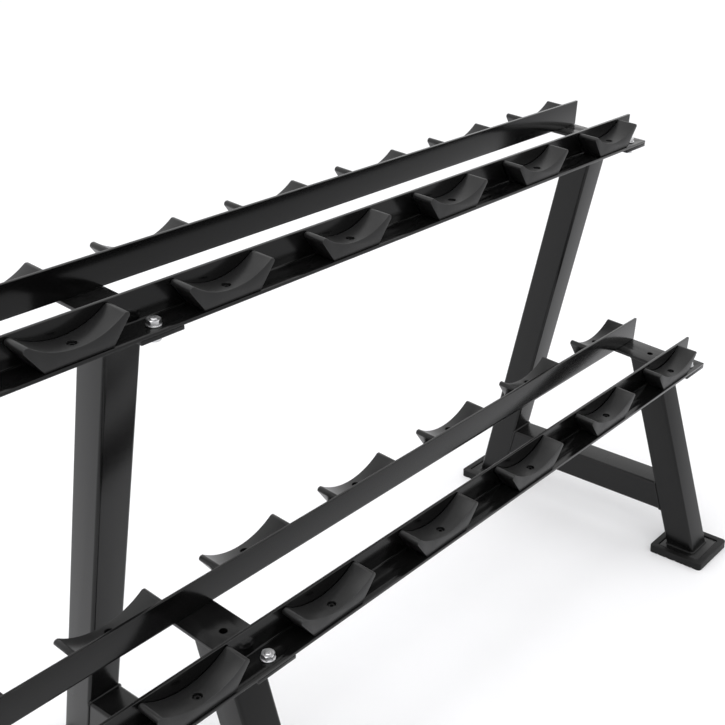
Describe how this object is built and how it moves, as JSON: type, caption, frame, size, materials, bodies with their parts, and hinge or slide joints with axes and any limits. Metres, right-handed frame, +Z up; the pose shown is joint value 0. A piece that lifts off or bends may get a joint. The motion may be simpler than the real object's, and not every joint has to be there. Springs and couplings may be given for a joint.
{
  "type": "dumbbell rack",
  "caption": "Free-standing two-tier dumbbell rack: paired angle rails with moulded rubber saddles, bolted to welded box-section frames on rubber feet.",
  "frame": {"origin": "on the floor, under the middle of the middle frame, halfway between the front and rear feet", "axes": "+X along the rails to the user's right, +Y from the user to the back, +Z up"},
  "size_m": [2.434, 0.616, 0.9004],
  "materials": {
    "frame_paint": "satin black powder coat",
    "rail_paint": "satin black powder coat",
    "saddle_rubber": "matt moulded rubber",
    "foot_rubber": "matt moulded rubber",
    "zinc_fastener": "bright zinc plate",
    "black_screw": "black oxide"
  },
  "bodies": {
    "root": {"left_end_frame": "frame_paint", "left_end_front_foot": "foot_rubber", "left_end_rear_foot": "foot_rubber", "middle_frame": "frame_paint", "middle_front_foot": "foot_rubber", "middle_rear_foot": "foot_rubber", "right_end_frame": "frame_paint", "right_end_front_foot": "foot_rubber", "right_end_rear_foot": "foot_rubber", "upper_front_rail": "rail_paint", "upper_front_saddle_01": "saddle_rubber", "upper_front_saddle_02": "saddle_rubber", "upper_front_saddle_03": "saddle_rubber", "upper_front_saddle_04": "saddle_rubber", "upper_front_saddle_05": "saddle_rubber", "upper_front_saddle_06": "saddle_rubber", "upper_front_saddle_07": "saddle_rubber", "upper_front_saddle_08": "saddle_rubber", "upper_front_saddle_09": "saddle_rubber", "upper_front_saddle_10": "saddle_rubber", "upper_rear_rail": "rail_paint", "upper_rear_saddle_01": "saddle_rubber", "upper_rear_saddle_02": "saddle_rubber", "upper_rear_saddle_03": "saddle_rubber", "upper_rear_saddle_04": "saddle_rubber", "upper_rear_saddle_05": "saddle_rubber", "upper_rear_saddle_06": "saddle_rubber", "upper_rear_saddle_07": "saddle_rubber", "upper_rear_saddle_08": "saddle_rubber", "upper_rear_saddle_09": "saddle_rubber", "upper_rear_saddle_10": "saddle_rubber", "lower_front_rail": "rail_paint", "lower_front_saddle_01": "saddle_rubber", "lower_front_saddle_02": "saddle_rubber", "lower_front_saddle_03": "saddle_rubber", "lower_front_saddle_04": "saddle_rubber", "lower_front_saddle_05": "saddle_rubber", "lower_front_saddle_06": "saddle_rubber", "lower_front_saddle_07": "saddle_rubber", "lower_front_saddle_08": "saddle_rubber", "lower_front_saddle_09": "saddle_rubber", "lower_front_saddle_10": "saddle_rubber", "lower_rear_rail": "rail_paint", "lower_rear_saddle_01": "saddle_rubber", "lower_rear_saddle_02": "saddle_rubber", "lower_rear_saddle_03": "saddle_rubber", "lower_rear_saddle_04": "saddle_rubber", "lower_rear_saddle_05": "saddle_rubber", "lower_rear_saddle_06": "saddle_rubber", "lower_rear_saddle_07": "saddle_rubber", "lower_rear_saddle_08": "saddle_rubber", "lower_rear_saddle_09": "saddle_rubber", "lower_rear_saddle_10": "saddle_rubber"}
  },
  "joints": []
}
